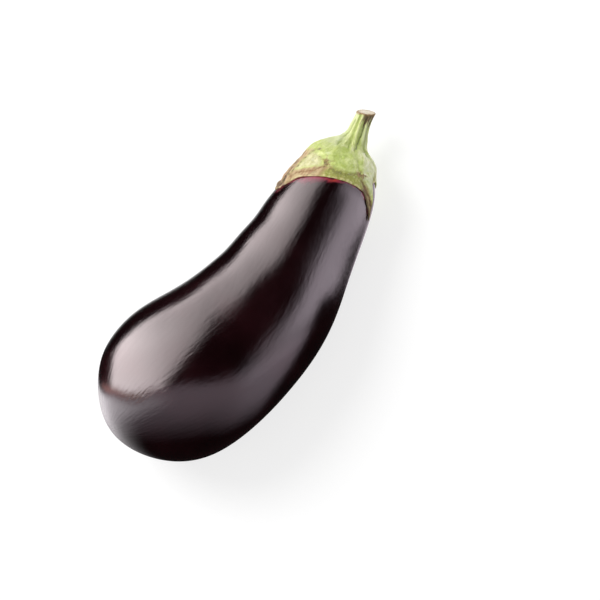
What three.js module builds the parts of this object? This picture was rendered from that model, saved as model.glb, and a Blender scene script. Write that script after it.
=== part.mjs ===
// An eggplant lying on its side, with its calyx and cut stem. Millimetres, +Z up.
// The origin is under the middle of the whole, on the surface it lies on. +X points to the stem.
import * as THREE from 'three';

// Spine of the fruit: one cubic curve, blossom end first, seen from above.
const SPINE_X = [-107.6, 22.7, -28.4, 85.5];
const SPINE_Y = [14.2, -21.2, -4.6, 4.5];
// The neck sinks below level until the calyx under it touches the surface too.
const NECK_DROP_DEG = 8.5;
const SPINE_HEIGHT = 34.0;

// Half thickness of the fruit along its spine: Bernstein weights, and how blunt each end is.
const GIRTH = [29.4, 63.1, 24.8, 34.5, 18.0];
const BLOSSOM_END = 13.4;
const STEM_END = 23.7;
const FRUIT_RINGS = 40;
const FRUIT_SIDES = 48;

// Calyx. Azimuths go round the neck in degrees, 0 on top and 90 on the +Y side.
// Distances run down the fruit from the middle of its stem end.
const CALYX_GAP = 0.45;
const EDGE_THICKNESS = 1.0;
const FOOT_THICKENING = 0.8;
const RIB_HEIGHT = 0.7;
const SHOULDERS = [
  { azimuth: 78, width: 38, distance: 20, length: 8, height: 2.6 },
  { azimuth: -75, width: 28, distance: 11, length: 5, height: 0.8 },
];
const BODY_THICKNESS = [[0, 1.7], [75, 1.9], [180, 2.8], [268, 0.9]];
const BETWEEN_LOBES = [
  [104, 31.0], [177, 35.5], [256, 20.0], [286, 17.8], [306, 22.0], [313, 23.5], [321, 32.1],
];
// The lobe at -45.5 is narrow and leans over to its side. The one at 67 is broad below a narrow tip.
const LEAN = { azimuth: -46, width: 20, start: 25.5, run: 12.5, turn: -20 };
const LOBES = [
  { azimuth: -45.5, reach: 42.0, before: 3, after: 13, taper: 1.6 },
  { azimuth: 67, reach: 48.0, before: 88, after: 36, taper: 1.35 },
  { azimuth: 67, reach: 53.5, before: 42, after: 24, taper: 0.95 },
  { azimuth: 140, reach: 47.0, before: 32, after: 36, taper: 1.5 },
  { azimuth: 210, reach: 49.0, before: 34, after: 38, taper: 1.5 },
];
const RIB_AZIMUTHS = [-52, -5, 70, 140, 210];
// Columns of its mesh, from one azimuth to another by a step: close together at the narrow lobe's steep side.
const CALYX_COLUMNS = [[0, 305, 5], [308, 318, 1], [320, 355, 5]];

// Stem: control points to the left, up and out from the middle of the fruit's stem end.
const STEM_AXIS = [[0, 0, 0], [5.8, 0.8, 4.5], [7.0, 5.2, 12.0], [8.3, 10.9, 20.0]];
const CUT_RADIUS = 4.6;
const STEM_SWELL = 4.3;
const CUT_SLANT = 0.28;
const STEM_RIB = 0.1;
// Where the calyx leaves the stem, as a share of the stem, and where it lies down on the fruit.
const FLARE_TOP = [[0, 0.6], [75, 0.68], [180, 0.45], [270, 0.42]];
const FLARE_FOOT = [[0, 20], [75, 25], [180, 17], [270, 13]];

const rad = THREE.MathUtils.degToRad;
const clamp = THREE.MathUtils.clamp;
const ease = (x) => THREE.MathUtils.smoothstep(x, 0, 1);

// Smallest signed turn from one azimuth to another, in degrees.
const turn = (from, to) => THREE.MathUtils.euclideanModulo(to - from + 180, 360) - 180;

const bell = (x, width) => Math.exp(-((x / width) ** 2));

// The spine slopes down to the neck in proportion to x.
const drop = Math.tan(rad(NECK_DROP_DEG));
const spinePoints = SPINE_X.map((x, i) => new THREE.Vector3(x, SPINE_Y[i], SPINE_HEIGHT - drop * x));
const spine = new THREE.CubicBezierCurve3(...spinePoints);
spine.arcLengthDivisions = 800;
const spineLength = spine.getLength();

// Axes at a share t of the spine: out along it, to the side and up.
function axesAt(t) {
  const centre = spine.getPointAt(t);
  const out = spine.getTangentAt(t);
  const side = new THREE.Vector3(0, 0, 1).cross(out).normalize();
  const up = new THREE.Vector3().crossVectors(out, side);
  return { centre, out, side, up };
}

function radiusAt(t) {
  const [a, b, c, d, e] = GIRTH;
  const s = 1 - t;
  const girth = a * s ** 4 + 4 * b * s ** 3 * t + 6 * c * s * s * t * t + 4 * d * s * t ** 3 + e * t ** 4;
  return girth * Math.sqrt(1 - s ** BLOSSOM_END) * Math.sqrt(1 - t ** STEM_END);
}

// Direction away from the spine at an azimuth.
function away(axes, azimuth) {
  const direction = axes.side.clone().multiplyScalar(Math.sin(rad(azimuth)));
  return direction.addScaledVector(axes.up, Math.cos(rad(azimuth)));
}

function fruitPoint(t, azimuth) {
  const axes = axesAt(t);
  return axes.centre.addScaledVector(away(axes, azimuth), radiusAt(t));
}

// Profile of the neck: distance down from the middle of the stem end, and the radius and depth there.
function neckProfile() {
  const steps = 2000;
  const profile = [{ distance: 0, t: 1, radius: 0 }];
  for (let i = 1; i <= steps; i += 1) {
    const t = 1 - 0.75 * (1 - Math.cos((Math.PI / 2) * (i / steps)));
    const radius = radiusAt(t);
    const last = profile[i - 1];
    const step = Math.hypot(radius - last.radius, (last.t - t) * spineLength);
    profile.push({ distance: last.distance + step, t, radius });
  }
  return profile;
}
const neck = neckProfile();

function onNeck(distance) {
  let low = 0;
  let high = neck.length - 1;
  while (high - low > 1) {
    const middle = (low + high) >> 1;
    if (neck[middle].distance > distance) high = middle;
    else low = middle;
  }
  const a = neck[low];
  const b = neck[high];
  const share = (distance - a.distance) / (b.distance - a.distance);
  const grow = b.radius - a.radius;
  const fall = (a.t - b.t) * spineLength;
  const size = Math.hypot(grow, fall);
  return {
    t: THREE.MathUtils.lerp(a.t, b.t, share),
    radius: THREE.MathUtils.lerp(a.radius, b.radius, share),
    grow: grow / size,
    fall: fall / size,
  };
}

// Point at a height over the neck's surface.
function overNeck(distance, azimuth, height) {
  const at = onNeck(distance);
  const axes = axesAt(at.t);
  const direction = away(axes, azimuth);
  return axes.centre
    .addScaledVector(direction, at.radius + height * at.fall)
    .addScaledVector(axes.out, height * at.grow);
}

// A value given at a few azimuths, eased from each to the next round the neck.
function roundNeck(knots, azimuth) {
  const angle = THREE.MathUtils.euclideanModulo(azimuth, 360);
  const last = knots.length - 1;
  const open = [
    [knots[last][0] - 360, knots[last][1]],
    ...knots,
    [knots[0][0] + 360, knots[0][1]],
  ];
  const i = open.findIndex((knot, k) => k > 0 && angle < knot[0]);
  const [from, a] = open[i - 1];
  const [to, b] = open[i];
  return a + (b - a) * ease((angle - from) / (to - from));
}

// Edge of the calyx: arches between the lobes, which taper to blunt tips.
function marginAt(azimuth) {
  const arch = roundNeck(BETWEEN_LOBES, azimuth);
  const reaches = LOBES.map((lobe) => {
    const off = turn(lobe.azimuth, azimuth);
    const share = off < 0 ? -off / lobe.before : off / lobe.after;
    const blunt = Math.hypot(share, 0.06) - 0.06;
    return arch + (lobe.reach - arch) * clamp(1 - blunt, 0, 1) ** lobe.taper;
  });
  return Math.max(...reaches);
}

// Azimuth of a point of the blade once the narrow lobe has leaned over.
function leaning(distance, azimuth) {
  const share = clamp((distance - LEAN.start) / LEAN.run, 0, 1.35);
  return azimuth + LEAN.turn * share * bell(turn(LEAN.azimuth, azimuth), LEAN.width);
}

const ribAt = (azimuth, width) =>
  RIB_AZIMUTHS.reduce((sum, line) => sum + bell(turn(line, azimuth), width), 0);

const shoulderAt = (distance, azimuth) =>
  SHOULDERS.reduce((sum, hump) => {
    const round = bell(turn(hump.azimuth, azimuth), hump.width);
    return sum + hump.height * bell(distance - hump.distance, hump.length) * round;
  }, 0);

// Thickness of the calyx: thin at its edge, ribbed down each lobe, heavy at its shoulders.
function calyxThickness(distance, azimuth) {
  const margin = marginAt(azimuth);
  const foot = roundNeck(FLARE_FOOT, azimuth);
  const inward = ease((margin - distance) / 9);
  const body = (roundNeck(BODY_THICKNESS, azimuth) - EDGE_THICKNESS) * inward;
  const toFoot = FOOT_THICKENING * clamp((margin - distance) / (margin - foot), 0, 1) ** 2;
  const ribs = RIB_HEIGHT * ribAt(azimuth, 16) * inward;
  return EDGE_THICKNESS + body + toFoot + ribs + shoulderAt(distance, azimuth);
}

const stemEnd = axesAt(1);
const stemPoints = STEM_AXIS.map(([left, up, out]) =>
  stemEnd.centre
    .clone()
    .addScaledVector(stemEnd.side, left)
    .addScaledVector(stemEnd.up, up)
    .addScaledVector(stemEnd.out, out),
);
const stemAxis = new THREE.CubicBezierCurve3(...stemPoints);

function stemAxes(share) {
  const centre = stemAxis.getPoint(share);
  const out = stemAxis.getTangent(share);
  const side = stemEnd.side.clone().addScaledVector(out, -stemEnd.side.dot(out)).normalize();
  const up = new THREE.Vector3().crossVectors(out, side);
  return { centre, out, side, up };
}

// Point on the ribbed stem, which swells down to the calyx and ends in a slanted cut.
function stemPoint(share, azimuth) {
  const axes = stemAxes(share);
  const lip = 0.25 * bell(share - 1, 0.06);
  const round = CUT_RADIUS + STEM_SWELL * (1 - share) ** 1.6 + lip;
  const rib = STEM_RIB * (ribAt(azimuth, 14) - 0.6) * ease((1.02 - share) / 0.25);
  const radius = round * (1 + rib);
  const slant = -CUT_SLANT * radius * Math.sin(rad(azimuth)) * ease((share - 0.7) / 0.3);
  return axes.centre.addScaledVector(away(axes, azimuth), radius).addScaledVector(axes.out, slant);
}

// The calyx leaves the stem along it and meets the fruit along its surface.
function flareCurve(azimuth) {
  const share = roundNeck(FLARE_TOP, azimuth);
  const foot = roundNeck(FLARE_FOOT, azimuth);
  const top = stemPoint(share, azimuth);
  const end = overNeck(foot, azimuth, calyxThickness(foot, azimuth));
  const next = overNeck(foot + 0.5, azimuth, calyxThickness(foot + 0.5, azimuth));
  const reach = 0.42 * top.distanceTo(end);
  const leave = top.clone().addScaledVector(stemAxis.getTangent(share), -reach);
  const arrive = end.clone().addScaledVector(next.sub(end).normalize(), -reach);
  return new THREE.CubicBezierCurve3(top, leave, arrive, end);
}

const evenly = (from, to, step) =>
  Array.from({ length: Math.round((to - from) / step) + 1 }, (_, k) => from + step * k);
const calyxAzimuths = CALYX_COLUMNS.flatMap(([from, to, step]) => evenly(from, to, step));

// Rings of points, each with a point at every azimuth.
const ringsOf = (count, azimuths, point) =>
  Array.from({ length: count }, (_, i) => azimuths.map((azimuth) => point(i, azimuth)));

// Joins rings into one closed skin with a point at each end, pressed flat where it meets the surface.
function closedSkin(first, rings, last) {
  const sides = rings[0].length;
  const points = [first, ...rings.flat(), last];
  const positions = points.flatMap((p) => [p.x, p.y, Math.max(p.z, 0)]);
  const end = points.length - 1;
  const index = [];
  for (let k = 0; k < sides; k += 1) {
    const next = (k + 1) % sides;
    index.push(0, 1 + next, 1 + k);
    for (let i = 0; i < rings.length - 1; i += 1) {
      const a = 1 + i * sides + k;
      const b = 1 + i * sides + next;
      index.push(a, b, b + sides, a, b + sides, a + sides);
    }
    const lowest = end - sides;
    index.push(lowest + k, lowest + next, end);
  }
  const geometry = new THREE.BufferGeometry();
  geometry.setAttribute('position', new THREE.Float32BufferAttribute(positions, 3));
  geometry.setIndex(index);
  geometry.computeVertexNormals();
  return geometry;
}

function fruitGeometry() {
  const share = (i) => (1 - Math.cos((Math.PI * i) / FRUIT_RINGS)) / 2;
  const azimuths = evenly(0, 360 - 360 / FRUIT_SIDES, 360 / FRUIT_SIDES);
  const rings = ringsOf(FRUIT_RINGS - 1, azimuths, (i, azimuth) =>
    fruitPoint(share(FRUIT_RINGS - 1 - i), azimuth),
  );
  return closedSkin(spine.getPointAt(1), rings, spine.getPointAt(0));
}

function calyxGeometry() {
  const cutCentre = stemAxis.getPoint(1);
  const cut = ringsOf(2, calyxAzimuths, (i, azimuth) =>
    cutCentre.clone().lerp(stemPoint(1, azimuth), [0.55, 0.93][i]),
  );
  const stem = ringsOf(5, calyxAzimuths, (i, azimuth) => {
    const top = roundNeck(FLARE_TOP, azimuth);
    const start = i === 0 ? 0.98 : 1;
    return stemPoint(start - (1 - top) * (i / 4), azimuth);
  });
  const flare = ringsOf(6, calyxAzimuths, (i, azimuth) => flareCurve(azimuth).getPoint((i + 1) / 7));
  const blade = ringsOf(9, calyxAzimuths, (i, azimuth) => {
    const foot = roundNeck(FLARE_FOOT, azimuth);
    const distance = foot + (marginAt(azimuth) - foot) * (i / 8) ** 0.9;
    return overNeck(distance, leaning(distance, azimuth), calyxThickness(distance, azimuth));
  });
  const inside = ringsOf(8, calyxAzimuths, (i, azimuth) => {
    const distance = marginAt(azimuth) * (1 - i / 8);
    return overNeck(distance, leaning(distance, azimuth), CALYX_GAP);
  });
  const rings = [...cut, ...stem, ...flare, ...blade, ...inside];
  return closedSkin(cutCentre, rings, overNeck(0, 0, CALYX_GAP));
}

const skin = new THREE.MeshStandardMaterial({ color: 0x1c070d, roughness: 0.15, metalness: 0 });
const green = new THREE.MeshStandardMaterial({ color: 0xb4c878, roughness: 0.55, metalness: 0 });

function named(name, geometry, material) {
  const mesh = new THREE.Mesh(geometry, material);
  mesh.name = name;
  return mesh;
}

const eggplant = new THREE.Group();
eggplant.add(named('fruit', fruitGeometry(), skin));
eggplant.add(named('calyx_and_stem', calyxGeometry(), green));

export default eggplant;
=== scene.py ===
"""An eggplant lying on its side, with its calyx and cut stem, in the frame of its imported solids.

The fruit and the calyx are fine surfaces of the same formulas as the solids that they replace.
Lengths are in millimetres until a mesh is made. Azimuths go round the neck in degrees, 0 on top
and 90 on the +Y side, which is the inside of the bend.
"""
from math import comb
from types import SimpleNamespace

import bpy
import numpy as np
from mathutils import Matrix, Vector


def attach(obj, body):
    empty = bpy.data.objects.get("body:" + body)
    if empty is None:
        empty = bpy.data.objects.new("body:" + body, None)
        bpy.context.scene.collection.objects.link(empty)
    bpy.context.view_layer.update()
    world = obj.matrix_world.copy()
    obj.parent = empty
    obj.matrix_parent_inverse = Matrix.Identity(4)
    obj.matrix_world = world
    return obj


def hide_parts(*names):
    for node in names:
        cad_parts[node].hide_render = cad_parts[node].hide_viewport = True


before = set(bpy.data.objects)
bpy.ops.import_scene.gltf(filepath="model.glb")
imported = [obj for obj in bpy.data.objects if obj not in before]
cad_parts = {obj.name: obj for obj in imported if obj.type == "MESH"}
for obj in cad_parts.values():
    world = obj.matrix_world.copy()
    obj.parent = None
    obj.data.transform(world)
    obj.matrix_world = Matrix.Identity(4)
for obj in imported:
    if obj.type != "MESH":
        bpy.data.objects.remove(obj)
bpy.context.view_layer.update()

MM = 0.001
DEG = np.pi / 180

# Fruit, as in the solids.
SPINE_X = [-107.6, 22.7, -28.4, 85.5]
SPINE_Y = [14.2, -21.2, -4.6, 4.5]
NECK_DROP = 8.5 * DEG
SPINE_HEIGHT = 34.0
GIRTH = [29.4, 63.1, 24.8, 34.5, 18.0]
BLOSSOM_END = 13.4
STEM_END = 23.7

# Calyx, as in the solids. Distances run down the fruit from the middle of its stem end, and each
# pair is an azimuth with the value there.
EDGE_THICKNESS = 1.0
EDGE_RUN = 9.0
FOOT_THICKENING = 0.8
RIB_HEIGHT = 0.7
RIB_AZIMUTHS = [-52, -5, 70, 140, 210]
SHOULDERS = [
    dict(azimuth=78, width=38, distance=20, length=8, height=2.6),
    dict(azimuth=-75, width=28, distance=11, length=5, height=0.8),
]
BODY_THICKNESS = [(0, 1.7), (75, 1.9), (180, 2.8), (268, 0.9)]
BETWEEN_LOBES = [
    (104, 31.0), (177, 35.5), (256, 20.0), (286, 17.8), (306, 22.0), (313, 23.5), (321, 32.1),
]
LOBES = [
    dict(azimuth=-45.5, reach=42.0, before=3, after=13, taper=1.6),
    dict(azimuth=67, reach=48.0, before=88, after=36, taper=1.35),
    dict(azimuth=67, reach=53.5, before=42, after=24, taper=0.95),
    dict(azimuth=140, reach=47.0, before=32, after=36, taper=1.5),
    dict(azimuth=210, reach=49.0, before=34, after=38, taper=1.5),
]
TIP_BLUNTNESS = 0.06
LEAN = dict(azimuth=-46, width=20, start=25.5, run=12.5, turn=-20, most=1.35)

# Stem, as in the solids: control points to the left, up and out from the middle of the stem end.
STEM_AXIS = [(0, 0, 0), (5.8, 0.8, 4.5), (7.0, 5.2, 12.0), (8.3, 10.9, 20.0)]
STEM_LENGTH = 25.5
STEM_SWELL = 4.3
STEM_TAPER = 1.6
STEM_RIB = 0.1
CUT_RADIUS = 4.6
CUT_RIM = 0.25
CUT_SLANT = 0.28
FLARE_TOP = [(0, 0.6), (75, 0.68), (180, 0.45), (270, 0.42)]
FLARE_FOOT = [(0, 20), (75, 25), (180, 17), (270, 13)]

# Camera: it looks down on the fruit from this far off, and a pixel is this wide at the fruit.
CAMERA_AZIMUTH = -52.0
CAMERA_ELEVATION = 84.0
CAMERA_DISTANCE = 1400.0
PIXEL = 0.52
PICTURE = 600
CAMERA_TARGET = (6.1, -19.4, 33.1)


def unit(v):
    return v / np.linalg.norm(v, axis=-1, keepdims=True)


def smooth(x):
    """Eased step from 0 to 1."""
    x = np.clip(x, 0, 1)
    return x * x * (3 - 2 * x)


def bell(x, width):
    """1 at x = 0, falling off smoothly to either side over the width."""
    return np.exp(-((x / width) ** 2))


def turn(start, end):
    """Smallest signed turn between two azimuths, in degrees."""
    return (np.asarray(end) - start + 180) % 360 - 180


def bezier(points, share):
    """Point at a share of the curve that the control points give."""
    points = np.asarray(points, float)
    n = len(points) - 1
    u = np.asarray(share, float)[..., None]
    return sum(comb(n, i) * u**i * (1 - u) ** (n - i) * points[i] for i in range(n + 1))


def tangent(points, share):
    return unit(bezier(3 * np.diff(np.asarray(points, float), axis=0), share))


def lattice(x, y, seed):
    """Smooth noise from -1 to 1: random values on a square lattice, seeded and eased between."""
    rng = np.random.default_rng(seed)
    table = rng.uniform(-1, 1, (64, 64))
    xi, yi = np.floor(x).astype(int), np.floor(y).astype(int)
    fx, fy = smooth(x - xi), smooth(y - yi)
    a, b = table[xi % 64, yi % 64], table[(xi + 1) % 64, yi % 64]
    c, d = table[xi % 64, (yi + 1) % 64], table[(xi + 1) % 64, (yi + 1) % 64]
    return (a * (1 - fx) + b * fx) * (1 - fy) + (c * (1 - fx) + d * fx) * fy


SPINE = np.array([(x, y, SPINE_HEIGHT - np.tan(NECK_DROP) * x) for x, y in zip(SPINE_X, SPINE_Y)])
SPINE_STEPS = np.linspace(0, 1, 801)
SPINE_RUN = np.append(0, np.cumsum(np.linalg.norm(np.diff(bezier(SPINE, SPINE_STEPS), axis=0), axis=1)))
SPINE_LENGTH = SPINE_RUN[-1]


def spine_axes(t):
    """Centre and the axes out, to the side and up, at a share t of the spine's length."""
    u = np.interp(np.asarray(t) * SPINE_LENGTH, SPINE_RUN, SPINE_STEPS)
    out = tangent(SPINE, u)
    side = unit(np.cross([0, 0, 1.0], out))
    return bezier(SPINE, u), out, side, np.cross(out, side)


def fruit_radius(t):
    """Radius at a share t of the spine: a smooth girth, closed roundly at both ends."""
    t = np.asarray(t, float)
    girth = sum(comb(4, i) * t**i * (1 - t) ** (4 - i) * GIRTH[i] for i in range(5))
    ends = np.maximum(1 - (1 - t) ** BLOSSOM_END, 0) * np.maximum(1 - t**STEM_END, 0)
    return girth * np.sqrt(ends)


def neck_profile():
    """Distance down from the middle of the stem end, with the spine share and radius there.

    It covers three quarters of the spine, in steps that are finest at the stem end.
    """
    t = 1 - 0.75 * (1 - np.cos(np.pi / 2 * np.linspace(0, 1, 2001)))
    radius = fruit_radius(t)
    distance = np.append(0, np.cumsum(np.hypot(np.diff(radius), np.diff(t) * SPINE_LENGTH)))
    return distance, t, radius


NECK_DISTANCE, NECK_T, NECK_RADIUS = neck_profile()
NECK_GROW = np.gradient(NECK_RADIUS, NECK_DISTANCE)
NECK_FALL = -np.gradient(NECK_T * SPINE_LENGTH, NECK_DISTANCE)


def away(side, up, azimuth):
    """Direction away from an axis at an azimuth, 0 up and 90 to the side."""
    a = np.asarray(azimuth)[..., None] * DEG
    return np.sin(a) * side + np.cos(a) * up


def over_neck(distance, azimuth, height):
    """Point at a height over the fruit, a distance down its neck."""
    def at(column):
        return np.interp(distance, NECK_DISTANCE, column)[..., None]
    centre, out, side, up = spine_axes(at(NECK_T)[..., 0])
    direction = away(side, up, azimuth)
    normal = unit(at(NECK_FALL) * direction + at(NECK_GROW) * out)
    return centre + at(NECK_RADIUS) * direction + np.asarray(height)[..., None] * normal


def round_neck(knots, azimuth):
    """A value given at a few azimuths, eased from each to the next."""
    angle = np.asarray(azimuth) % 360
    angles = np.array([knots[-1][0] - 360] + [k[0] for k in knots] + [knots[0][0] + 360])
    values = np.array([knots[-1][1]] + [k[1] for k in knots] + [knots[0][1]])
    i = np.clip(np.searchsorted(angles, angle, side="right") - 1, 0, len(angles) - 2)
    share = (angle - angles[i]) / (angles[i + 1] - angles[i])
    return values[i] + (values[i + 1] - values[i]) * smooth(share)


def margin_at(azimuth):
    """Edge of the calyx: arches between the lobes, which taper to blunt tips."""
    arch = round_neck(BETWEEN_LOBES, azimuth)
    edge = arch
    for lobe in LOBES:
        off = turn(lobe["azimuth"], azimuth)
        share = np.where(off < 0, -off / lobe["before"], off / lobe["after"])
        blunt = np.hypot(share, TIP_BLUNTNESS) - TIP_BLUNTNESS
        taper = np.clip(1 - blunt, 0, 1) ** lobe["taper"]
        edge = np.maximum(edge, arch + (lobe["reach"] - arch) * taper)
    return edge


def leaning(distance, azimuth):
    """Azimuth of a point of the blade once the narrow lobe has leaned over to its side."""
    share = np.clip((distance - LEAN["start"]) / LEAN["run"], 0, LEAN["most"])
    return azimuth + LEAN["turn"] * share * bell(turn(LEAN["azimuth"], azimuth), LEAN["width"])


def rib_at(azimuth, width):
    return sum(bell(turn(line, azimuth), width) for line in RIB_AZIMUTHS)


def calyx_thickness(distance, azimuth):
    """Thickness: thin at the edge, more on the body, the ribs, the foot and the shoulders."""
    margin, foot = margin_at(azimuth), round_neck(FLARE_FOOT, azimuth)
    inward = smooth((margin - distance) / EDGE_RUN)
    to_foot = np.clip((margin - distance) / (margin - foot), 0, 1)
    thickness = EDGE_THICKNESS + (round_neck(BODY_THICKNESS, azimuth) - EDGE_THICKNESS) * inward
    thickness = thickness + FOOT_THICKENING * to_foot**2 + RIB_HEIGHT * rib_at(azimuth, 16) * inward
    for hump in SHOULDERS:
        along = bell(distance - hump["distance"], hump["length"])
        around = bell(turn(hump["azimuth"], azimuth), hump["width"])
        thickness = thickness + hump["height"] * along * around
    return thickness


END_CENTRE, END_OUT, END_SIDE, END_UP = spine_axes(1.0)
STEM = END_CENTRE + np.array(STEM_AXIS, float) @ np.array([END_SIDE, END_UP, END_OUT])


def stem_point(share, azimuth):
    """Point on the ribbed stem at a share of its axis, and the stem's direction there."""
    share = np.asarray(share, float)
    out = tangent(STEM, share)
    side = unit(END_SIDE - (out @ END_SIDE)[..., None] * out)
    radius = CUT_RADIUS + STEM_SWELL * np.clip(1 - share, 0, 1) ** STEM_TAPER
    radius = radius + CUT_RIM * bell(share - 1, 0.06)
    radius = radius * (1 + STEM_RIB * (rib_at(azimuth, 14) - 0.6) * smooth((1.02 - share) / 0.25))
    slant = -CUT_SLANT * radius * np.sin(azimuth * DEG) * smooth((share - 0.7) / 0.3)
    direction = away(side, np.cross(out, side), azimuth)
    return bezier(STEM, share) + radius[..., None] * direction + slant[..., None] * out, out


FLAT_SOFTNESS = 0.25


def rest(points):
    """Presses what would sink below the surface flat against it, with a softened bend round the flat."""
    z = points[..., 2]
    points[..., 2] = FLAT_SOFTNESS * np.logaddexp(0, z / FLAT_SOFTNESS)
    return points


def mesh_object(name, rings, first, last, attributes):
    """Closed smooth mesh of rings of points with a point at each end, in metres.

    attributes maps a name to an array of a value or a colour for each ring point; the end points
    take the mean of the ring beside them.
    """
    rows, sides = rings.shape[:2]
    points = np.concatenate([[first], rings.reshape(-1, 3), [last]]) * MM
    k = np.arange(sides)
    after = (k + 1) % sides
    i = np.arange(rows - 1)[:, None] * sides + 1
    quads = np.stack([i + k, i + after, i + sides + after, i + sides + k], -1).reshape(-1, 4)
    end = len(points) - 1
    top = np.stack([np.zeros_like(k), 1 + after, 1 + k], -1)
    bottom = np.stack([end - sides + k, end - sides + after, np.full_like(k, end)], -1)
    mesh = bpy.data.meshes.new(name)
    mesh.from_pydata(points.tolist(), [], top.tolist() + quads.tolist() + bottom.tolist())
    mesh.shade_smooth()
    for key, values in attributes.items():
        flat = values.reshape(rows * sides, -1)
        ends = values.reshape(rows, sides, -1).mean(axis=1)
        flat = np.concatenate([ends[:1], flat, ends[-1:]])
        if flat.shape[1] == 1:
            mesh.attributes.new(key, "FLOAT", "POINT").data.foreach_set("value", flat.ravel())
        else:
            colour = np.concatenate([flat, np.ones((len(flat), 1))], axis=1)
            layer = mesh.attributes.new(key, "FLOAT_COLOR", "POINT")
            layer.data.foreach_set("color", colour.astype(np.float32).ravel())
    mesh.update()
    piece = bpy.data.objects.new(name, mesh)
    bpy.context.collection.objects.link(piece)
    return piece


def round_noise(azimuth, down, cells, length, seed):
    """Noise with so many cells round the neck, each of a length down it."""
    return lattice(azimuth / 360 * cells, down / length, seed)


FRUIT_ROWS = 320
FRUIT_SIDES = 300


def inner_side(t):
    """How much fuller than the solid the side inside the bend is, in millimetres.

    Along the fruit it has two hollows and two slight swellings.
    """
    hollows = -1.5 * bell(t - 0.36, 0.1) - 1.05 * bell(t - 0.715, 0.048)
    return hollows + 0.4 * bell(t - 0.55, 0.05) + 0.5 * bell(t - 0.09, 0.05)


def fruit_swell(t, azimuth):
    """Faint hollows and swellings of the fruit's radius, in millimetres, less towards both ends."""
    x, y = np.cos(azimuth * DEG), np.sin(azimuth * DEG)
    swell = 0.22 * lattice(20 + 1.6 * x + 7 * t, 20 + 1.6 * y - 3 * t, 4)
    swell = swell + 0.06 * lattice(40 + 5 * x, 40 + 5 * y + 4 * t, 9)
    swell = swell + inner_side(t) * np.maximum(np.cos((azimuth - 84) * DEG), 0) ** 2
    return swell * np.clip(fruit_radius(t) / 20, 0, 1)


def skin_marks(t, azimuth):
    """Distance below the calyx's edge, and how much the skin blushes pink or glows red beside it.

    The blush is widest at azimuth 28 and breaks up in patches at its lower end.
    """
    distance = np.interp(-t, -NECK_T, NECK_DISTANCE)
    upright = azimuth
    for _ in range(6):
        # Closes in on the azimuth that the lean takes to this one.
        upright = azimuth - (leaning(distance, upright) - upright)
    below = distance - margin_at(upright)
    patchy = round_noise(azimuth, below, 64, 1.6, 41) + 0.6 * round_noise(azimuth, below, 128, 3.0, 42)
    width = 1.6 + 5.4 * bell(turn(28, azimuth), 27)
    blush = smooth((width + 1.6 * patchy - below) / width) * smooth((below + 0.5) / 0.8)
    depth = 0.55 + 0.3 * bell(turn(26, azimuth), 30) + 0.15 * bell(turn(26, azimuth), 8)
    ember = bell(turn(6, azimuth), 6) * bell(below - 1.0, 1.3) * smooth(0.4 + 1.7 * patchy)
    return {"below_calyx": below, "blush": blush * depth, "ember": ember}


def fruit_piece():
    """The fruit: a round section along the spine, from the stem end to the blossom end."""
    t = (1 - np.cos(np.pi * np.arange(FRUIT_ROWS - 1, 0, -1) / FRUIT_ROWS)) / 2
    azimuth = np.arange(FRUIT_SIDES) * 360 / FRUIT_SIDES
    t, azimuth = np.meshgrid(t, azimuth, indexing="ij")
    centre, _, side, up = spine_axes(t)
    radius = fruit_radius(t) + fruit_swell(t, azimuth)
    rings = rest(centre + radius[..., None] * away(side, up, azimuth))
    attributes = skin_marks(t, azimuth)
    attributes["along"] = t
    attributes["round_x"] = np.cos(azimuth * DEG)
    attributes["round_y"] = np.sin(azimuth * DEG)
    ends = spine_axes(np.array([1.0, 0.0]))[0]
    return mesh_object("eggplant_fruit", rings, ends[0], ends[1], attributes)


CALYX_SIDES = 560
CUT_ROWS, STEM_ROWS, FLARE_ROWS, BLADE_ROWS, EDGE_ROWS, INNER_ROWS = 10, 38, 30, 80, 4, 8
RIM_SHARE = 0.985
FLARE_REACH = 0.42
EDGE_ROUNDING = 0.35
INNER_GAP = 0.04


def calyx_surface():
    """Outer skin of cut, stem, flare and blade: rings, azimuths, distances down and the cut's centre.

    The distances run down from the foot of the stem, so they are negative on the stem itself. The
    points of a ring are closer together on top than underneath.
    """
    turned = np.arange(CALYX_SIDES) * 360 / CALYX_SIDES
    azimuth = turned - 20 * np.sin(turned * DEG)
    top, foot = round_neck(FLARE_TOP, azimuth), round_neck(FLARE_FOOT, azimuth)
    margin = margin_at(azimuth)
    cut_centre = bezier(STEM, 1.0)
    rows, down = [], []

    def add(points, distance):
        rows.append(points)
        down.append(np.broadcast_to(distance, azimuth.shape))

    lip = stem_point(np.ones_like(azimuth), azimuth)[0]
    for f in np.linspace(0.1, 0.95, CUT_ROWS):
        add(cut_centre + f * (lip - cut_centre), -(1 - top) * STEM_LENGTH - (1 - f) * CUT_RADIUS)
    for f in np.linspace(0, 1, STEM_ROWS):
        share = RIM_SHARE - (RIM_SHARE - top) * f
        add(stem_point(share, azimuth)[0], -(share - top) * STEM_LENGTH)
    start, out = stem_point(top, azimuth)
    end = over_neck(foot, azimuth, calyx_thickness(foot, azimuth))
    after = over_neck(foot + 0.5, azimuth, calyx_thickness(foot + 0.5, azimuth))
    reach = FLARE_REACH * np.linalg.norm(end - start, axis=-1, keepdims=True)
    curve = [start, start - reach * out, end - reach * unit(after - end), end]
    for f in np.linspace(0, 1, FLARE_ROWS + 2)[1:-1]:
        add(bezier(curve, f), foot * f)
    for f in np.linspace(0, 1, BLADE_ROWS):
        distance = foot + (margin - foot) * f**0.9
        height = calyx_thickness(distance, azimuth)
        add(over_neck(distance, leaning(distance, azimuth), height), distance)
    return np.array(rows), azimuth, np.array(down), cut_centre


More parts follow.
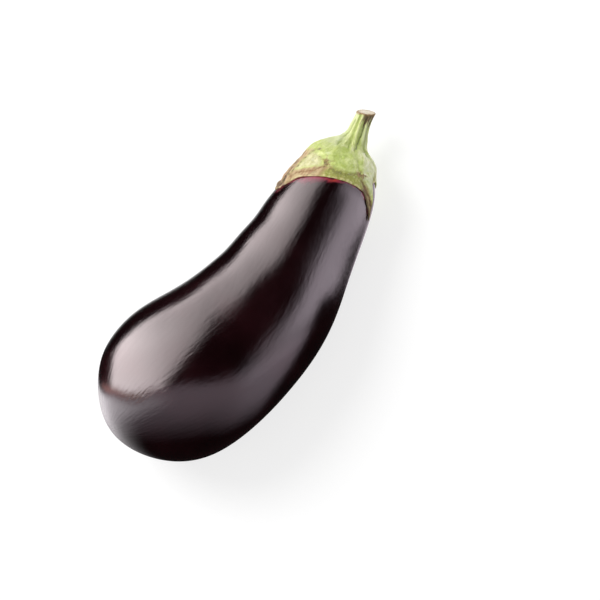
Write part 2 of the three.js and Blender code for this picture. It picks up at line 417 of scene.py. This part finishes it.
# Marks on the calyx and the stem, as paths of (azimuth, distance down).
LONG_GROOVE = [
    (-26, -10), (-32, -5), (-30, -0.3), (-20, 3.4), (-5, 8), (2, 14), (-2, 17.8), (-10, 20.8),
    (-15, 22.5), (-20, 24.5),
]
STEM_GROOVES = [
    LONG_GROOVE,
    [(20, -9), (14, -3), (15, 2.6), (18, 8.7), (17, 14)],
    [(48, -4), (52, 4), (44, 11), (36, 17)],
    [(-62, -10), (-60, -2), (-48, 4), (-36, 10)],
]
STEM_RIDGES = [
    [(4, -12), (3, -6), (1, -1), (6, 4), (10, 9), (9, 15)],
    [(33, -9), (34, 0), (33, 8), (28, 16)],
]
DARK_CREASE = [
    (-27, 28.6), (-36, 29.6), (-44, 31.4), (-52, 33.4), (-60, 35.8), (-66, 38.6), (-71, 41.3),
]
BROWN_CREASES = [
    [(26, 33.9), (31, 36.4), (40, 39.4), (47, 40.9), (52, 43.2), (54, 45.7), (55, 48.5)],
    DARK_CREASE,
    [(110, 30.0), (124, 35.5), (136, 43.0)],
    [(182, 35.0), (196, 40.5), (207, 46.5)],
]
OLIVE_CREASES = [
    [(15, 32.6), (5, 32.2), (-4, 31.3), (-11, 29.4), (-17, 27.2)],
    [(140, 20.0), (141, 34.0), (139, 42.0)],
    [(210, 18.0), (208, 32.0), (209, 44.0)],
]
OLIVE_DOTS = [
    (50, 25.2), (56, 27.4), (58, 29.6), (58, 32.2), (57, 35.4), (57, 38.2), (57, 41.2), (58, 44.2),
]
PALE_VEIN = [(20, 22), (10, 20), (-4, 21), (-12, 25), (-8, 28), (6, 29)]
LOBE_FOLD = [(73, 28.5), (70, 34.5), (65.5, 39.5), (62, 43.5), (61.5, 47.0), (64, 50.0), (68, 53.0)]

# Low swellings, each a path and its width in millimetres.
SWELLINGS = [
    ([(-14, 15), (-22, 21), (-24, 25)], 1.6),
    ([(30, 18), (24, 24), (26, 28)], 1.8),
]

# Each scar has a centre and the ends of its arms.
STAR_SCARS = [
    [(24, 30.7), [(41, 29.0), (33, 26.6), (17, 27.2), (25, 34.2), (15, 32.9)]],
    [(-22, 26.0), [(-33, 24.0), (-30, 28.2), (-13, 28.8), (-17, 22.5)]],
    [(104, 26.5), [(116, 25.0), (98, 23.5), (92, 29.0), (108, 30.0)]],
    [(176, 31.0), [(188, 29.5), (166, 28.0), (172, 34.5)]],
    [(262, 22.5), [(272, 20.0), (252, 21.0), (262, 25.5)]],
]


def stroke(place, path, width, taper=0.0):
    """How near points are to a path: 1 on it, falling off over its width in millimetres.

    With a taper the width shrinks by that share towards the end of each step of the path.
    """
    azimuth, down, across, along = place
    nearest = np.full(down.shape, 1e6)
    for (a, d), (b, e) in zip(path, path[1:]):
        x, y = turn(a, azimuth) * across, (down - d) * along
        u, v = turn(a, b) * across, (e - d) * along
        share = np.clip((x * u + y * v) / (u * u + v * v + 1e-9), 0, 1)
        off = np.hypot(x - share * u, y - share * v) / (1 - taper * share)
        nearest = np.minimum(nearest, off)
    return bell(nearest, width)


def strokes(place, paths, width):
    return np.max([stroke(place, path, width) for path in paths], axis=0)


def spot(place, centre, across_size, along_size):
    """How near points are to a centre, falling off over a size round the neck and one down it."""
    azimuth, down, across, along = place
    x = turn(centre[0], azimuth) * across / across_size
    y = (down - centre[1]) * along / along_size
    return np.exp(-x * x - y * y)


def within(value, low, high, soft):
    """1 between low and high and 0 outside, with each step eased over a soft width."""
    return smooth((value - low) / soft + 0.5) * smooth((high - value) / soft + 0.5)


def star_scars(place, size):
    """Dry scars: a broad patch with fainter arms that thin out."""
    found = np.zeros(place[1].shape)
    for centre, ends in STAR_SCARS:
        found = np.maximum(found, spot(place, centre, 1.8 * size, 1.3 * size))
        for end in ends:
            found = np.maximum(found, 0.5 * stroke(place, [centre, end], 0.95 * size, 0.7))
    return found


def calyx_marks(azimuth, down, across, along, inward):
    """What the relief and the colours of calyx and stem are made from, at each of their points.

    across is the skin's length for a degree round the neck, along that for a millimetre of distance
    down, and inward the distance in from the edge. Strokes wander a little with the noise.
    """
    def noise(cells, length, seed):
        return round_noise(azimuth, down, cells, length, seed)

    m = SimpleNamespace(azimuth=azimuth, down=down, inward=inward, signed=turn(0, azimuth))
    m.stem_fibres, m.fibres = noise(64, 6, 21), noise(192, 5, 11)
    m.fine, m.mottle = noise(384, 0.7, 12), noise(128, 1.2, 13)
    m.lumps, m.patches = noise(64, 2.8, 14), noise(32, 5.0, 17)
    m.burr = 0.75 + 0.45 * m.mottle + 0.35 * m.fine
    m.on_stem = smooth((7 - down) / 9)
    m.on_blade = 1 - m.on_stem

    sway = smooth((down + 4) / 14)
    aside = 1.6 * noise(64, 2.6, 31) + 1.2 * noise(128, 1.1, 32)
    ahead = 0.5 * noise(64, 2.1, 33) + 0.3 * noise(128, 1.1, 34)
    m.place = (azimuth + sway * aside, down + sway * ahead, across, along)
    m.valleys, m.lines = strokes(m.place, STEM_GROOVES, 1.1), strokes(m.place, STEM_GROOVES, 0.35)
    m.ridges = strokes(m.place, STEM_RIDGES, 1.1)
    m.brown, m.olive = strokes(m.place, BROWN_CREASES, 0.6), strokes(m.place, OLIVE_CREASES, 0.7)
    m.dots = np.max([spot(m.place, centre, 0.75, 0.85) for centre in OLIVE_DOTS], axis=0)
    m.fold = stroke(m.place, LOBE_FOLD, 0.8)
    rough, pitted = 0.8 + 0.5 * m.mottle + 0.3 * m.fine, 0.7 + 0.5 * m.fine - 0.4 * m.mottle
    m.scars = smooth(1.5 * star_scars(m.place, 1.5) * rough - 0.12)
    m.cores = smooth(1.6 * star_scars(m.place, 0.9) * pitted - 0.3)

    # Dry areas: the broad lobe with its folded side and its tip, the narrow lobe and the ends of the
    # lobes behind; also the darker brown end of the stem.
    m.dry = within(m.signed, 18, 66, 10) * smooth((down - 32.6 - 0.25 * (m.signed - 26)) / 2.2)
    m.folded = within(m.signed, 58.5, 80, 5) * within(down, 27, 60, 4)
    m.tip = smooth((down - 47) / 4) * smooth(m.signed / 10)
    m.strip = within(m.signed, -88, -36, 8) * smooth((down - 27.0) / 3.0) * smooth((7.5 - inward) / 4)
    m.dried = smooth((down - 39) / 6) * within(azimuth % 360, 112, 245, 12)
    m.from_end = (1 - round_neck(FLARE_TOP, azimuth)) * STEM_LENGTH + down
    m.burnt = within(m.signed, -120, -4, 20) * smooth((6.2 + 3.5 * m.stem_fibres - m.from_end) / 2.5)
    return m


def calyx_relief(m):
    """Millimetres out of the smooth form, or into it: grooves, ridges, creases, scars and lumps."""
    relief = -0.35 * m.valleys - 0.2 * m.lines + 0.4 * m.ridges - 0.35 * m.brown - 0.3 * m.olive
    relief = relief - 0.6 * m.fold + 0.3 * m.scars - 0.5 * m.cores - 0.3 * m.dots
    relief = relief + 0.14 * m.stem_fibres * m.on_stem
    lumpy = 0.3 * m.lumps + 0.14 * m.mottle + 0.05 * m.fine
    smooth_side = within(m.signed, -110, -58, 8)
    relief = relief + lumpy * m.on_blade * smooth(m.inward / 1.5) * (1 - smooth_side)
    for path, width in SWELLINGS:
        relief = relief + 0.35 * stroke(m.place, path, width)
    uneven = lattice(m.azimuth / 360 * 64, np.full(m.down.shape, 3.0), 15)
    relief = relief + smooth(1 - m.inward / 2.5) * (0.28 * uneven - 0.3)
    return relief + m.tip * (0.2 + 0.5 * smooth((m.signed - 61) / 5) + 0.15 * m.mottle)


def calyx_dryness(m):
    return np.clip(m.dry + m.folded + m.scars + m.brown + m.burnt + m.dried + m.tip + m.strip, 0, 1)


class Coat:
    """A colour for each point, painted over in layers. Tones are eight-bit screen colours."""

    def __init__(self, shape, tone):
        self.colour = np.zeros(shape + (3,)) + tone

    def paint(self, amount, tone):
        amount = np.clip(amount, 0, 1)[..., None]
        self.colour = self.colour * (1 - amount) + np.array(tone, float) * amount

    def linear(self):
        """The colours as linear light, by the standard curve of screens."""
        rgb = np.clip(self.colour, 0, 255) / 255
        return np.where(rgb <= 0.04045, rgb / 12.92, ((rgb + 0.055) / 1.055) ** 2.4)


def zone(m, sides, side_soft, rows, row_soft):
    """1 between two azimuths and two distances down, with soft edges."""
    return within(m.signed, *sides, side_soft) * within(m.down, *rows, row_soft)


def paint_flesh(m, paint):
    """Greens: fibres on the stem and mottling on the blade, then lighter and deeper areas, among them
    painted highlights on the shoulder inside the bend, on the stem's ridges and in a spot on the blade.
    """
    paint(0.85 * smooth(0.5 + 0.8 * m.stem_fibres) * m.on_stem, (216, 226, 164))
    deep = smooth(0.4 + 0.7 * m.lumps + 0.35 * m.mottle + 0.5 * m.patches)
    paint(0.85 * deep * m.on_blade, (158, 178, 72))
    paint(0.75 * smooth(0.25 + 0.8 * m.mottle - 0.5 * m.lumps) * m.on_blade, (206, 216, 148))
    paint(0.35 * smooth(0.2 + 1.2 * m.fine), (216, 224, 162))
    pale = smooth(0.8 + 0.5 * m.mottle + 0.3 * m.lumps)
    # The shoulder on the inside of the bend, its paleness a painted highlight on the side that faces the
    # light, then the one on the other side.
    # Painted highlight: pale green on the stem and flare on the side towards the light.
    paint(0.85 * zone(m, (34, 112), 16, (-14, 20), 7) * pale, (226, 233, 194))
    paint(0.7 * zone(m, (40, 100), 14, (14, 25), 4) * smooth(0.6 + m.mottle), (206, 216, 146))
    paint(0.85 * zone(m, (-75, -24), 9, (8, 30), 6) * pale, (208, 216, 176))
    paint(0.6 * zone(m, (-70, -34), 9, (-14, 4), 5), (214, 220, 184))
    # Deeper green between them, on the stem and on the blade, then a painted highlight along the stem's
    # ridges and a pale vein.
    paint(0.6 * zone(m, (-30, -6), 10, (-12, 6), 5), (172, 188, 98))
    paint(0.65 * zone(m, (2, 24), 10, (12, 28), 5) * smooth(0.55 + m.lumps), (156, 178, 72))
    # Painted highlight: pale green along the ridges of the stem.
    paint(0.85 * m.ridges * smooth(0.9 + m.stem_fibres), (222, 228, 170))
    paint(0.5 * stroke(m.place, PALE_VEIN, 0.5), (206, 218, 140))
    # Painted highlight: a whitish spot on the blade.
    paint(0.7 * spot(m.place, (33, 25.0), 2.2, 1.6) * pale, (226, 232, 188))


def paint_dry_parts_and_edge_shadow(m, paint):
    """Cream, olive, tan and brown towards the edge, and the rind along the edge itself, darkened along
    the narrow lobe by a painted shadow.
    """
    low = 27.0 + 0.14 * (57 - m.signed) + 0.5 * m.lumps
    high = 33.0 + 0.24 * (m.signed - 26) + 0.6 * m.mottle
    cream = zone(m, (30, 57), 9, (low, high), 3.0)
    paint(0.95 * cream, (204, 202, 158))
    paint(0.5 * cream * smooth(0.3 + m.mottle + 0.6 * m.fine), (178, 178, 112))
    paint(0.95 * m.dry, (184, 160, 122))
    paint(0.7 * m.dry * smooth(0.3 + 1.1 * m.fibres + 0.5 * m.fine), (146, 110, 80))
    arch = within(m.signed, -66, 20, 14) * smooth((6.5 - m.inward) / 3.5)
    paint(0.9 * arch, (136, 140, 52))
    paint(0.7 * arch * smooth(0.2 + m.fine + 0.5 * m.fibres), (172, 172, 92))
    paint(0.9 * spot(m.place, (11, 33.0), 4.2, 2.0) * smooth(0.8 + m.mottle), (108, 110, 36))
    paint(0.92 * m.folded, (188, 166, 130))
    paint(0.8 * m.folded * smooth(0.3 + m.fibres + 0.6 * m.fine), (134, 100, 78))
    paint(0.9 * m.strip, (156, 136, 92))
    paint(0.6 * m.strip * smooth(0.1 + m.fibres + m.fine), (198, 182, 128))
    paint(0.85 * m.dried * smooth(0.7 + m.mottle), (176, 144, 98))
    rind = smooth((1.25 - m.inward) / 0.8)
    paint(0.8 * rind * smooth(0.4 + 1.2 * m.mottle), (208, 196, 146))
    # Painted shadow: the rind of the narrow lobe darkened to brown along its edge.
    paint(0.85 * rind * within(m.signed, -90, -34, 8) * smooth((m.down - 27) / 3), (84, 64, 46))


def paint_creases_and_scars(m, paint):
    """Olive and brown creases, star scars with darker cores, the broad lobe's fold and its tip."""
    paint(0.5 * spot(m.place, (-52, 24), 1.6, 1.6), (206, 142, 116))
    paint(0.8 * m.olive * m.burr, (104, 102, 38))
    paint(0.45 * stroke(m.place, OLIVE_DOTS, 0.8), (146, 144, 84))
    paint(1.2 * m.dots * m.burr, (88, 84, 42))
    paint(0.8 * m.brown * m.burr, (124, 88, 54))
    paint(0.8 * m.scars, (160, 142, 90))
    paint(0.65 * m.scars * smooth(0.25 + 0.9 * m.mottle + 0.6 * m.fine), (128, 102, 68))
    paint(0.8 * m.cores, (110, 84, 56))
    paint(0.8 * stroke(m.place, DARK_CREASE, 0.9) * m.burr, (82, 58, 38))
    paint(0.85 * zone(m, (79, 100), 4, (27, 60), 4) * m.burr, (120, 92, 72))
    paint(1.5 * m.fold * m.burr, (46, 28, 22))
    paint(0.95 * m.tip * smooth(0.6 + m.fibres + 0.5 * m.fine), (92, 72, 60))
    paint(0.9 * spot(m.place, (-47, 23.1), 0.6, 1.0), (66, 44, 34))


def paint_stem(m, paint):
    """Painted shade in the grooves, the darker brown end of the stem, and the pale cut with two darker
    rings.
    """
    # Painted shade: darker green along the stem's grooves, with thin darker lines in them, darkest in
    # the long groove.
    paint(0.5 * m.valleys * smooth((28 - m.down) / 8) * smooth(0.9 + m.stem_fibres), (150, 172, 76))
    thin = m.lines * smooth(0.6 + m.fine + m.stem_fibres)
    paint(0.4 * thin * smooth((20 - m.down) / 8), (104, 118, 56))
    dark = smooth((15 - m.down) / 6) * smooth(0.8 + 0.6 * m.fine + 0.4 * m.mottle)
    paint(0.7 * stroke(m.place, LONG_GROOVE, 0.32) * dark, (64, 70, 38))
    # Darker brown on the end of the stem, towards the outside of the bend.
    paint(0.95 * m.burnt, (110, 88, 60))
    paint(0.85 * m.burnt * smooth(0.4 + 1.2 * m.stem_fibres + 0.4 * m.fine), (60, 44, 32))
    paint(0.85 * smooth((1.1 + 0.7 * m.mottle - m.from_end) / 0.7), (132, 102, 66))
    paint(smooth((-0.25 - m.from_end) / 0.5), (234, 224, 202))
    paint(0.8 * within(-m.from_end, 0.2, 1.5, 0.7) * smooth(0.4 + m.mottle), (150, 118, 80))
    paint(0.6 * within(-m.from_end, 1.8, 2.8, 0.8) * smooth(0.3 + m.stem_fibres), (206, 188, 142))


def calyx_colour(m):
    """Linear colour of each point, painted from the green flesh up to its dry and dark marks."""
    coat = Coat(m.down.shape, (180, 196, 106))
    for layers in (paint_flesh, paint_dry_parts_and_edge_shadow, paint_creases_and_scars, paint_stem):
        layers(m, coat.paint)
    return coat.linear()


def normals_of(rings):
    """Unit normals of a skin at the points of its rings, all to the same side."""
    around = np.roll(rings, -1, axis=1) - np.roll(rings, 1, axis=1)
    normal = np.cross(np.gradient(rings, axis=0), around)
    return normal / np.maximum(np.linalg.norm(normal, axis=-1, keepdims=True), 1e-9)


def calyx_piece():
    """The calyx and stem as one skin, closed by the edge of the blade and its inside."""
    rings, azimuth, down, cut_centre = calyx_surface()
    margin = margin_at(azimuth)
    azimuths = np.broadcast_to(azimuth, down.shape)
    step = turn(np.roll(azimuth, 1), np.roll(azimuth, -1))
    beside = np.roll(rings, -1, axis=1) - np.roll(rings, 1, axis=1)
    across = np.linalg.norm(beside, axis=-1) / step
    run = np.linalg.norm(np.gradient(rings, axis=0), axis=-1)
    along = np.clip(run / np.maximum(np.abs(np.gradient(down, axis=0)), 1e-3), 0.3, 3)
    marks = calyx_marks(leaning(down, azimuths), down, across, along, margin - down)
    relief = calyx_relief(marks)
    relief[:CUT_ROWS] *= 0.3
    blade = CUT_ROWS + STEM_ROWS + FLARE_ROWS + 12  # a row that shows which way is outward
    normal = normals_of(rings)
    normal = normal * np.sign(np.sum(normal[blade] * (rings[blade] - rings[blade].mean(axis=0))))
    rings = rings + relief[..., None] * normal

    rows = []
    thickness = EDGE_THICKNESS + relief[-1] - INNER_GAP
    for f in np.linspace(0, 1, EDGE_ROWS + 1)[1:]:
        distance = margin + EDGE_ROUNDING * np.sin(np.pi * f)
        height = INNER_GAP + thickness * np.cos(np.pi / 2 * f)
        rows.append(over_neck(distance, leaning(distance, azimuth), height))
    for f in np.linspace(1, 0, INNER_ROWS + 1)[1:-1]:
        distance = margin * f
        height = np.full_like(azimuth, INNER_GAP)
        rows.append(over_neck(distance, leaning(distance, azimuth), height))
    rings = rest(np.concatenate([rings, np.array(rows)]))
    last = over_neck(0.0, 0.0, INNER_GAP)

    def closed(values):
        """Values of the outer skin, those at its edge carried on over the edge and the inside."""
        return np.concatenate([values, np.repeat(values[-1:], len(rows), axis=0)])

    attributes = {
        "tone": closed(calyx_colour(marks)),
        "dryness": closed(calyx_dryness(marks)),
        "fibre_turn": closed(np.sin(azimuths * DEG)),
        "fibre_side": closed(np.cos(azimuths * DEG)),
        "down": closed(down),
    }
    return mesh_object("eggplant_calyx_and_stem", rings, cut_centre, last, attributes)


class Nodes:
    """Short ways to add and join shader nodes."""

    def __init__(self, name):
        self.material = bpy.data.materials.new(name)
        self.material.use_nodes = True
        self.tree = self.material.node_tree
        self.shader = self.tree.nodes["Principled BSDF"]

    def new(self, kind, **settings):
        node = self.tree.nodes.new(kind)
        for key, value in settings.items():
            setattr(node, key, value)
        return node

    def link(self, source, target):
        self.tree.links.new(source, target)

    def attribute(self, name, output="Fac"):
        """A mesh attribute, as a value or, from the output Color, as a colour."""
        return self.new("ShaderNodeAttribute", attribute_name=name).outputs[output]

    def math(self, operation, a, b):
        node = self.new("ShaderNodeMath", operation=operation)
        for socket, value in zip(node.inputs, (a, b)):
            if isinstance(value, (int, float)):
                socket.default_value = value
            else:
                self.link(value, socket)
        return node.outputs[0]

    def ramp(self, value, low, high, start=0.0, end=1.0):
        """Eased change from start to end as value goes from low to high."""
        node = self.new("ShaderNodeMapRange", interpolation_type="SMOOTHSTEP")
        self.link(value, node.inputs["Value"])
        for key, number in (("From Min", low), ("From Max", high), ("To Min", start), ("To Max", end)):
            node.inputs[key].default_value = number
        return node.outputs["Result"]

    def noise(self, vector, scale, detail=2.0, roughness=0.5):
        node = self.new("ShaderNodeTexNoise")
        self.link(vector, node.inputs["Vector"])
        node.inputs["Scale"].default_value = scale
        node.inputs["Detail"].default_value = detail
        node.inputs["Roughness"].default_value = roughness
        return node.outputs["Fac"]

    def mix(self, share, a, b):
        """Colour between a and b; each is a colour or a socket."""
        node = self.new("ShaderNodeMix", data_type="RGBA")
        for socket, value in ((node.inputs[0], share), (node.inputs[6], a), (node.inputs[7], b)):
            if isinstance(value, bpy.types.NodeSocket):
                self.link(value, socket)
            elif isinstance(value, tuple):
                socket.default_value = (*value, 1)
            else:
                socket.default_value = value
        return node.outputs[2]

    def vector(self, x, y, z):
        node = self.new("ShaderNodeCombineXYZ")
        for socket, value in zip(node.inputs, (x, y, z)):
            self.link(value, socket)
        return node.outputs[0]

    def bump(self, height, distance, strength=1.0):
        node = self.new("ShaderNodeBump")
        node.inputs["Strength"].default_value = strength
        node.inputs["Distance"].default_value = distance
        self.link(height, node.inputs["Height"])
        self.link(node.outputs[0], self.shader.inputs["Normal"])


NEAR_BLACK, WINE = (0.0045, 0.0004, 0.0009), (0.012, 0.0014, 0.0026)
BLUSH_PINK, EMBER_RED = (0.34, 0.042, 0.088), (0.50, 0.055, 0.03)
DEEP_FIBRE, PALE_SPECK = (0.16, 0.20, 0.035), (0.74, 0.80, 0.48)


def skin_material():
    """Near-black purple skin: deep red-brown below a clear waxy gloss, blushing pink by the calyx."""
    n = Nodes("glossy eggplant skin")
    coords = n.new("ShaderNodeTexCoord").outputs["Object"]
    below = n.attribute("below_calyx")
    along = n.math("MULTIPLY", n.attribute("along"), 1.3)
    grain = n.vector(n.attribute("round_x"), n.attribute("round_y"), along)
    streaks = n.noise(grain, 22.0, 4.0, 0.65)
    blotches = n.noise(coords, 28.0, 3.0)
    grit = n.noise(coords, 420.0)
    skin = n.mix(n.ramp(blotches, 0.35, 0.75), NEAR_BLACK, WINE)
    blush = n.math("MULTIPLY", n.attribute("blush"), n.ramp(streaks, 0.35, 0.65, 0.55, 1.0))
    skin = n.mix(blush, skin, BLUSH_PINK)
    skin = n.mix(n.attribute("ember"), skin, EMBER_RED)
    n.link(skin, n.shader.inputs["Base Color"])
    n.link(n.ramp(below, 0.0, 6.0, 0.28, 0.5), n.shader.inputs["Specular IOR Level"])
    n.link(n.ramp(blotches, 0.3, 0.7, 0.11, 0.16), n.shader.inputs["Roughness"])
    n.shader.inputs["IOR"].default_value = 1.5
    n.bump(n.math("ADD", streaks, n.math("MULTIPLY", grit, 0.12)), 0.00012)
    return n.material


def calyx_material():
    """Satin green flesh with fine fibres, duller and rougher where it has dried."""
    n = Nodes("pale green calyx")
    tone = n.attribute("tone", "Color")
    coords = n.new("ShaderNodeTexCoord").outputs["Object"]
    lengthwise = n.math("MULTIPLY", n.attribute("down"), 0.06)
    grain = n.vector(n.attribute("fibre_turn"), n.attribute("fibre_side"), lengthwise)
    fibres = n.noise(grain, 42.0, 4.0, 0.6)
    specks = n.noise(coords, 900.0, 3.0, 0.6)
    flesh = n.mix(n.ramp(fibres, 0.42, 0.62, 0.0, 0.22), tone, DEEP_FIBRE)
    dryness = n.attribute("dryness")
    fresh = n.ramp(dryness, 0.0, 1.0, 1.0, 0.15)
    speckled = n.math("MULTIPLY", n.ramp(specks, 0.5, 0.7, 0.0, 0.25), fresh)
    flesh = n.mix(speckled, flesh, PALE_SPECK)
    n.link(flesh, n.shader.inputs["Base Color"])
    n.link(n.ramp(dryness, 0.0, 1.0, 0.42, 0.75), n.shader.inputs["Roughness"])
    n.shader.inputs["Specular IOR Level"].default_value = 0.35
    n.shader.inputs["Subsurface Weight"].default_value = 0.12
    n.shader.inputs["Subsurface Radius"].default_value = (0.6, 1.0, 0.3)
    n.shader.inputs["Subsurface Scale"].default_value = 0.002
    n.bump(n.math("ADD", fibres, n.math("MULTIPLY", specks, 0.4)), 0.00035, 0.8)
    return n.material


def look_at(location, target):
    return (Vector(target) - Vector(location)).to_track_quat("-Z", "Y").to_euler()


def camera_axes():
    """Directions back to the camera, to the right and up in the picture."""
    a, e = CAMERA_AZIMUTH * DEG, CAMERA_ELEVATION * DEG
    back = np.array([np.sin(a) * np.cos(e), -np.cos(a) * np.cos(e), np.sin(e)])
    right = unit(np.cross(-back, [0, 0, 1.0]))
    return back, right, np.cross(right, -back)


def make_camera():
    back = camera_axes()[0]
    data = bpy.data.cameras.new("camera")
    data.sensor_width = 36.0
    data.lens = data.sensor_width * CAMERA_DISTANCE / (PICTURE * PIXEL)
    camera = bpy.data.objects.new("camera", data)
    target = np.array(CAMERA_TARGET) * MM
    camera.location = target + back * CAMERA_DISTANCE * MM
    camera.rotation_euler = look_at(camera.location, target)
    bpy.context.collection.objects.link(camera)
    bpy.context.scene.camera = camera


# Radius of the dome round the scene, in metres.
SURROUND_RADIUS = 1.6


def left_softbox(x, y, low):
    """The large softbox: brightest in its middle and dimmer higher up, with soft curved sides."""
    left = -107 + 53 * np.clip((y - 30) / 66, 0, 1.5) ** 2
    right = 6 - 26 * np.clip(1 - y / 52, 0, 1.6) ** 1.5 - 7 * bell(y - 58, 12)
    box = smooth((x - left + 4) / 8) * smooth((right - x + 7) / 14) * smooth((y - low - 1) / 6)
    return 12.8 * box * bell(x + 68, 64) * (1 - 0.44 * smooth((y - 45) / 50))


def right_softbox(x, y):
    """The fainter softbox: its front part, and further right a limb with a slanted lower edge."""
    limb = smooth((y + 8 + 0.38 * (x - 100)) / 7 + 0.5) * (0.22 + 0.78 * smooth((142 - x) / 42))
    front = smooth((y + 40) / 38) * smooth((x - 46 + 20 * smooth((y - 22) / 26)) / 28)
    return 4.4 * (front + (limb - front) * smooth((x - 82 - 7 * smooth((-28 - y) / 30)) / 14))


def lit_table(x, y, low):
    """The table in front, brightest at its far edge."""
    edge = -3 - 0.22 * np.clip(x, 0, None) + 1.6 * (low + 12)
    table = smooth((edge - y) / 8) * smooth((95 + 8 * smooth((x - 30) / 30) + y) / 75)
    table = 1.5 * table * (1 + 0.4 * smooth((x - 50) / 25))
    return table * smooth((95 - x) / 9) * smooth((x + 150) / 60)


def table_glare(x, y, low):
    """More light on the left part of the table, below the large softbox."""
    middle = -34 - 53 * smooth((-y - 20) / 42)
    glare = smooth((low - 4 - y) / 9) * smooth((middle + 38 - x) / 76) * bell(y + 35, 90)
    return 3.7 * glare * (1 - 0.65 * smooth((np.hypot(x, y) - 122) / 45))


def studio_glow(x, y):
    """Brightness and colour that the skin mirrors, x degrees to the right and y degrees up.

    The angles are from the way back to the camera, seen from the fruit. There is a large softbox to the
    left, a fainter one to the right, the lit table in front with a warm line along its far edge, and
    light from behind that grazes the upper rim.
    """
    low = -21 + 9 * smooth((-66 - x) / 55) + 9 * smooth((x + 62) / 32)
    line = 2.3 * bell(y - low, 3.2) * smooth((-5 - x) / 90) * smooth((x + 142) / 36)
    rim = 0.9 * smooth((np.hypot(x, y) - 150) / 16) * smooth((y - 10) / 60)
    lamps = [
        (left_softbox(x, y, low), (1.0, 0.875, 0.885)),
        (right_softbox(x, y), (1.0, 0.86, 0.97)),
        (lit_table(x, y, low), (1.0, 0.82, 0.95)),
        (table_glare(x, y, low), (1.0, 0.95, 0.98)),
        (line, (1.0, 0.28, 0.12)),
        (rim, (1.0, 1.0, 1.0)),
    ]
    return sum(brightness[..., None] * np.array(colour) for brightness, colour in lamps) + 0.01


def make_surround():
    """A dome all round that only glossy surfaces see, with the studio's glow on its inside."""
    back, right, up = camera_axes()
    rows, sides = 120, 240
    away_by = np.linspace(0.5, 179.5, rows)[:, None]
    turned = np.arange(sides) * 2 * np.pi / sides
    x, y = away_by * np.cos(turned), away_by * np.sin(turned)
    flat = np.cos(turned)[:, None] * right + np.sin(turned)[:, None] * up
    direction = np.cos(away_by * DEG)[..., None] * back + np.sin(away_by * DEG)[..., None] * flat
    rings = direction * SURROUND_RADIUS / MM + np.array(CAMERA_TARGET)
    ends = [np.array(CAMERA_TARGET) + side * SURROUND_RADIUS / MM * back for side in (1, -1)]
    dome = mesh_object("studio surround", rings, ends[0], ends[1], {"glow": studio_glow(x, y)})
    n = Nodes("studio glow")
    light = n.new("ShaderNodeEmission")
    n.link(n.attribute("glow", "Color"), light.inputs["Color"])
    n.link(light.outputs[0], n.tree.nodes["Material Output"].inputs["Surface"])
    dome.data.materials.append(n.material)
    dome.visible_camera = False
    dome.visible_diffuse = False
    dome.visible_shadow = False
    dome.visible_transmission = False


def make_lights():
    """Soft daylight from all sides and a broad key from the left, for the matt parts and the table.

    The camera sees the surroundings brighter than they shine.
    """
    back, right, up = camera_axes()
    target = np.array(CAMERA_TARGET) * MM
    data = bpy.data.lights.new("key", "AREA")
    data.shape = "DISK"
    data.size = 0.8
    data.energy = 15
    key = bpy.data.objects.new("key", data)
    key.location = target + unit(back - right * 0.75 + up * 0.55) * 1.5
    key.rotation_euler = look_at(key.location, target)
    key.visible_camera = False
    key.visible_glossy = False
    bpy.context.collection.objects.link(key)
    world = bpy.data.worlds.new("studio")
    world.use_nodes = True
    tree = world.node_tree
    seen = tree.nodes["Background"]
    seen.inputs["Color"].default_value = (1, 1, 1, 1)
    seen.inputs["Strength"].default_value = 1.0
    light = tree.nodes.new("ShaderNodeBackground")
    light.inputs["Color"].default_value = (1, 1, 1, 1)
    light.inputs["Strength"].default_value = 0.5
    path = tree.nodes.new("ShaderNodeLightPath")
    either = tree.nodes.new("ShaderNodeMixShader")
    tree.links.new(path.outputs["Is Camera Ray"], either.inputs[0])
    tree.links.new(light.outputs[0], either.inputs[1])
    tree.links.new(seen.outputs[0], either.inputs[2])
    tree.links.new(either.outputs[0], tree.nodes["World Output"].inputs["Surface"])
    bpy.context.scene.world = world
    bpy.context.scene.view_settings.view_transform = "Standard"


def make_floor():
    """A wide white light table, in metres. The skin mirrors the surround in its place."""
    half = 30.0
    mesh = bpy.data.meshes.new("floor")
    corners = [(-half, -half, 0), (half, -half, 0), (half, half, 0), (-half, half, 0)]
    mesh.from_pydata(corners, [], [(0, 1, 2, 3)])
    n = Nodes("white table")
    n.shader.inputs["Base Color"].default_value = (0.4, 0.4, 0.4, 1)
    n.shader.inputs["Roughness"].default_value = 0.9
    n.shader.inputs["Specular IOR Level"].default_value = 0.0
    n.shader.inputs["Emission Color"].default_value = (1, 1, 1, 1)
    n.shader.inputs["Emission Strength"].default_value = 0.70
    mesh.materials.append(n.material)
    floor = bpy.data.objects.new("floor", mesh)
    floor.visible_glossy = False
    bpy.context.collection.objects.link(floor)


make_camera()
make_lights()
make_surround()
make_floor()

fruit = fruit_piece()
fruit.data.materials.append(skin_material())
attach(fruit, "root")
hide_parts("fruit")

calyx = calyx_piece()
calyx.data.materials.append(calyx_material())
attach(calyx, "root")
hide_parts("calyx_and_stem")
